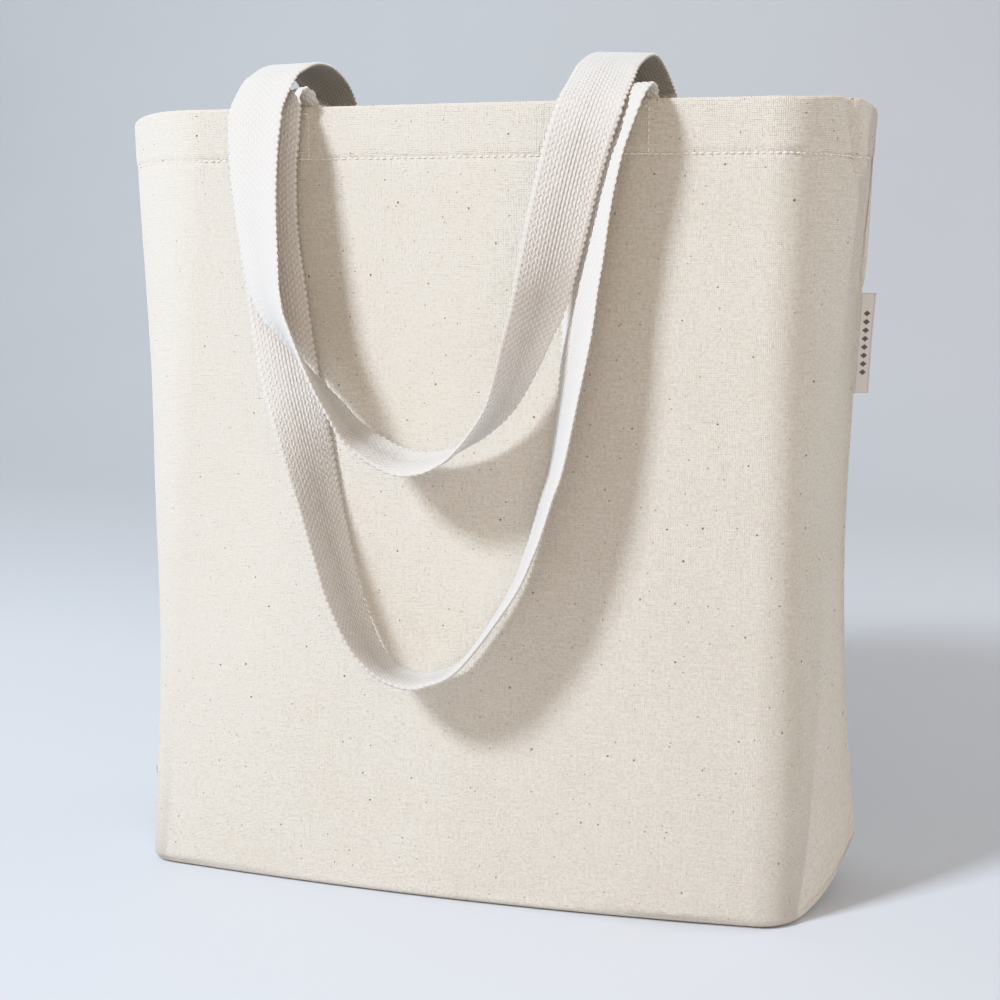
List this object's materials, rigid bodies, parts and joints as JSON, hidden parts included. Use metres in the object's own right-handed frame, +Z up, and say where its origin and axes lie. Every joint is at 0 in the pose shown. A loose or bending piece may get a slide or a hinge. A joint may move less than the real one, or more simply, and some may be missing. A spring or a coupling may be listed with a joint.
{
  "type": "canvas tote bag",
  "caption": "Open-topped canvas tote bag with a boxed base, turned rim hem, side label and two long webbing handles hanging over the front.",
  "frame": {"origin": "middle of the base, on the surface the bag stands on", "axes": "+X to the bag's right seen from the front, the front faces -Y, +Z up to the rim"},
  "size_m": [0.4066, 0.1765, 0.433],
  "materials": {
    "canvas": "matte plain-woven cotton",
    "seam_edge": "overlocked raw canvas edge",
    "thread": "matte cotton thread",
    "webbing": "coarse woven cotton webbing",
    "label": "smooth woven satin"
  },
  "bodies": {
    "bag": {"front_panel": "canvas", "back_panel": "canvas", "front_hem": "canvas", "back_hem": "canvas", "left_side_seam": "seam_edge", "right_side_seam": "seam_edge", "left_corner_seam": "seam_edge", "right_corner_seam": "seam_edge", "bottom_seam": "seam_edge", "front_hem_stitching": "thread", "back_hem_stitching": "thread", "front_left_box_stitching": "thread", "front_right_box_stitching": "thread", "back_left_box_stitching": "thread", "back_right_box_stitching": "thread", "front_handle_left_end": "webbing", "front_handle_right_end": "webbing", "back_handle_left_end": "webbing", "back_handle_right_end": "webbing"},
    "front_handle": {"front_handle_loop": "webbing"},
    "back_bridge": {"back_handle_left_bridge": "webbing", "back_handle_right_bridge": "webbing"},
    "back_handle": {"back_handle_loop": "webbing"},
    "side_label": {"side_label": "label"}
  },
  "joints": [
    {"name": "front_handle_lift", "type": "hinge", "parent": "bag", "child": "front_handle", "pos_m": [0.004, -0.068, 0.411], "axis": [-1, 0, 0], "range_deg": [0, 180]},
    {"name": "back_handle_rise", "type": "hinge", "parent": "bag", "child": "back_bridge", "pos_m": [0.004, 0.01, 0.41], "axis": [-1, 0, 0], "range_deg": [0, 81]},
    {"name": "back_handle_swing", "type": "hinge", "parent": "back_bridge", "child": "back_handle", "pos_m": [0.004, -0.064, 0.41], "axis": [-1, 0, 0], "range_deg": [0, 99]},
    {"name": "label_flip", "type": "hinge", "parent": "bag", "child": "side_label", "pos_m": [0.19426, 0, 0.266], "axis": [0.034, 0, 0.9994], "range_deg": [-55, 55]}
  ],
  "couplings": [
    {"joint": "back_handle_rise", "follows": "front_handle_lift", "ratio": 0.45},
    {"joint": "back_handle_swing", "follows": "front_handle_lift", "ratio": 0.55}
  ]
}
